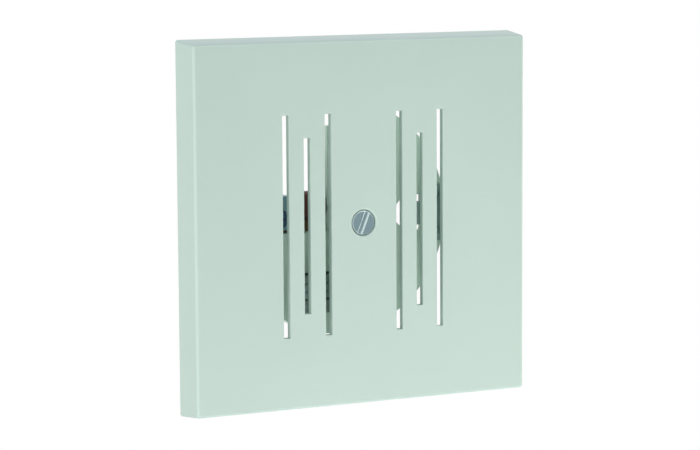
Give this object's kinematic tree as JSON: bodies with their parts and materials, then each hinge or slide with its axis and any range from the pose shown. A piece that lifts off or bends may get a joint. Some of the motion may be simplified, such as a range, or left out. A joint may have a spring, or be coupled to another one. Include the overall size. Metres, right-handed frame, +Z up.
{
  "type": "alarm siren",
  "caption": "Flush-mounted alarm siren: square slotted cover on one central screw, over a round carrier with piezo sounder, circuit board, terminals and steel box lugs.",
  "frame": {"origin": "on the cover screw's axis, in the wall plane that the cover's rear rim and the lugs lie on", "axes": "+X to the right seen from the front, +Y into the wall, +Z up"},
  "size_m": [0.0816, 0.0263, 0.0816],
  "materials": {
    "cover": "fine matt moulded grey-green",
    "carrier": "matt moulded light grey",
    "zinc": "blue zinc plate",
    "brass": "turned brass",
    "black_plastic": "matt black moulded",
    "nylon": "natural nylon",
    "board": "paper laminate with tinned tracks",
    "trimmer": "blue moulded",
    "ferrite": "dark sintered ferrite",
    "sleeve": "red-brown shrunk sleeve",
    "terminal": "dark grey moulded",
    "ceramic": "silvered piezo ceramic",
    "lead_red": "red insulation",
    "lead_black": "black insulation",
    "can_sleeve": "dark blue film sleeve"
  },
  "bodies": {
    "root": {"cover": "cover", "base": "carrier", "centre_insert": "brass", "lug_left": "zinc", "lug_right": "zinc", "lug_rivet_1": "zinc", "lug_rivet_2": "zinc", "lug_rivet_3": "zinc", "lug_rivet_4": "zinc", "circuit_board": "board", "board_screw_1": "zinc", "board_screw_2": "zinc", "board_screw_3": "zinc", "trimmer_body": "trimmer", "coil_core": "ferrite", "coil_sleeve": "sleeve", "transistor": "black_plastic", "tamper_switch": "black_plastic", "terminal_block": "terminal", "sounder_case": "black_plastic", "sounder_cap": "black_plastic", "piezo_plate": "brass", "piezo_ceramic": "ceramic", "sounder_lead_red": "lead_red", "sounder_lead_black": "lead_black", "capacitor": "can_sleeve", "driver_chip": "black_plastic", "resistor_1": "black_plastic", "resistor_2": "black_plastic", "resistor_3": "black_plastic"},
    "washer": {"screw_washer": "nylon"},
    "cover_screw": {"cover_screw": "zinc"},
    "trimmer_rotor": {"trimmer_rotor": "trimmer"},
    "tamper_plunger": {"tamper_plunger": "nylon"},
    "terminal_screw_1": {"terminal_screw_1": "zinc"},
    "terminal_screw_2": {"terminal_screw_2": "zinc"},
    "clamp_cage_1": {"clamp_cage_1": "brass"},
    "clamp_cage_2": {"clamp_cage_2": "brass"}
  },
  "joints": [
    {"name": "cover_screw_turn", "type": "hinge", "parent": "root", "child": "washer", "pos_m": [0, 0, 0], "axis": [0, -1, 0], "range_deg": [0, 1802]},
    {"name": "cover_screw_feed", "type": "slide", "parent": "washer", "child": "cover_screw", "axis": [0, -1, 0], "range_m": [0, 0.0025]},
    {"name": "trimmer_turn", "type": "hinge", "parent": "root", "child": "trimmer_rotor", "pos_m": [-0.0147, 0, 0.0003], "axis": [0, -1, 0], "range_deg": [-135, 135]},
    {"name": "tamper_press", "type": "slide", "parent": "root", "child": "tamper_plunger", "axis": [0, 1, 0], "range_m": [0, 0.0006], "stiffness_N_per_m": 400},
    {"name": "terminal_1_turn", "type": "hinge", "parent": "root", "child": "terminal_screw_1", "pos_m": [-0.00971, 0, -0.0157], "axis": [0, 1, 0], "range_deg": [0, 506]},
    {"name": "terminal_2_turn", "type": "hinge", "parent": "root", "child": "terminal_screw_2", "pos_m": [-0.00471, 0, -0.0157], "axis": [0, 1, 0], "range_deg": [0, 506]},
    {"name": "clamp_1_rise", "type": "slide", "parent": "root", "child": "clamp_cage_1", "axis": [0, -1, 0], "range_m": [0, 0.0007]},
    {"name": "clamp_2_rise", "type": "slide", "parent": "root", "child": "clamp_cage_2", "axis": [0, -1, 0], "range_m": [0, 0.0007]}
  ],
  "couplings": [
    {"joint": "cover_screw_turn", "follows": "cover_screw_feed", "rad_per_m": 12566},
    {"joint": "terminal_1_turn", "follows": "clamp_1_rise", "rad_per_m": 12566},
    {"joint": "terminal_2_turn", "follows": "clamp_2_rise", "rad_per_m": 12566}
  ]
}
